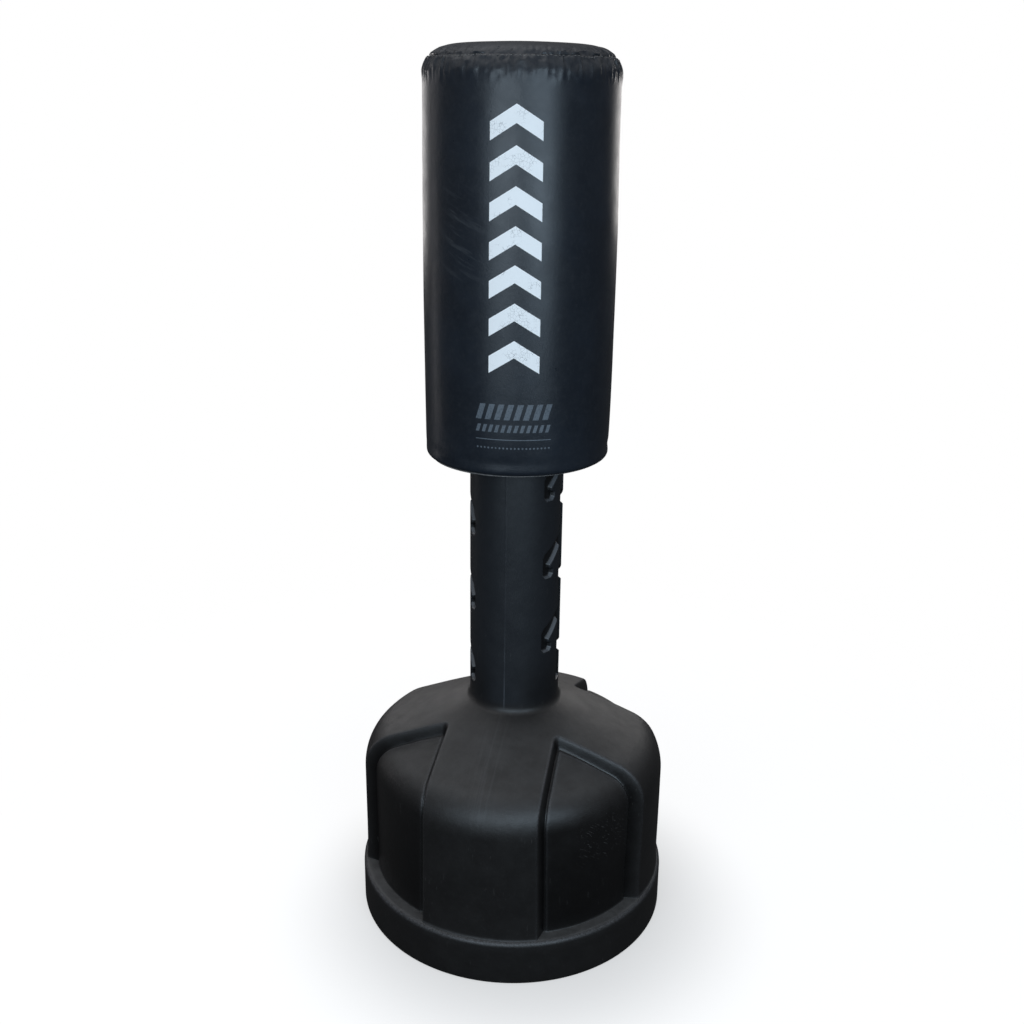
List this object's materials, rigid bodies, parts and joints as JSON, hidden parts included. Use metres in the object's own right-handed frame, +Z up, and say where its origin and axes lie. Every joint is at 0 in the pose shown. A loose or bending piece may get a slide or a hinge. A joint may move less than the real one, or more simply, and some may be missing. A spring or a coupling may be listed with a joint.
{
  "type": "free-standing punching bag",
  "caption": "Tall round foam punching bag in a vinyl cover on a height-adjustable plastic post moulded in one with a heavy round fillable base.",
  "frame": {"origin": "centre of the base's underside, on the floor", "axes": "+Z up the post; -Y is the front, where the print on the bag faces; +X to the right seen from the front"},
  "size_m": [0.616, 0.616, 1.66],
  "materials": {
    "tank_plastic": "moulded black polyethylene with a fine grain, lightly scuffed",
    "fill": "water or wet sand",
    "cap_plastic": "moulded black plastic",
    "gasket_rubber": "soft black rubber",
    "core_plastic": "smooth dark plastic",
    "peg_steel": "turned steel",
    "screw_steel": "zinc plated",
    "foam_firm": "closed-cell foam",
    "foam_soft": "open-cell foam",
    "vinyl": "satin black vinyl with a fine leather grain and faint scuffs",
    "ring_plastic": "black plastic"
  },
  "bodies": {
    "base": {"base_shell": "tank_plastic", "ballast": "fill"},
    "cap_seal": {"cap_gasket": "gasket_rubber"},
    "filler": {"fill_cap": "cap_plastic"},
    "height_carriage": {"core_cap": "core_plastic"},
    "bag": {"core_tube": "core_plastic", "lock_peg_left": "peg_steel", "lock_peg_right": "peg_steel", "peg_screws": "screw_steel", "foam_inner": "foam_firm", "foam_outer": "foam_soft", "foam_top_pad": "foam_soft", "cover_side": "vinyl", "cover_top": "vinyl", "cover_bottom": "vinyl", "retaining_ring": "ring_plastic", "retaining_screws": "screw_steel"}
  },
  "joints": [
    {"name": "bag_height", "type": "slide", "parent": "base", "child": "height_carriage", "axis": [0, 0, 1], "range_m": [-0.4572, 0.0762]},
    {"name": "bag_twist", "type": "hinge", "parent": "height_carriage", "child": "bag", "pos_m": [0, 0, 0.9682], "axis": [0, 0, 1], "range_deg": [0, 33]},
    {"name": "cap_lift", "type": "slide", "parent": "base", "child": "cap_seal", "axis": [0, 0.4027, 0.9153], "range_m": [0, 0.018]},
    {"name": "cap_turn", "type": "hinge", "parent": "cap_seal", "child": "filler", "pos_m": [0, 0.19, 0.4082], "axis": [0, 0.4027, 0.9153], "range_deg": [0, 1080]}
  ],
  "couplings": [
    {"joint": "cap_lift", "follows": "cap_turn", "m_per_rad": 0.0009549}
  ]
}
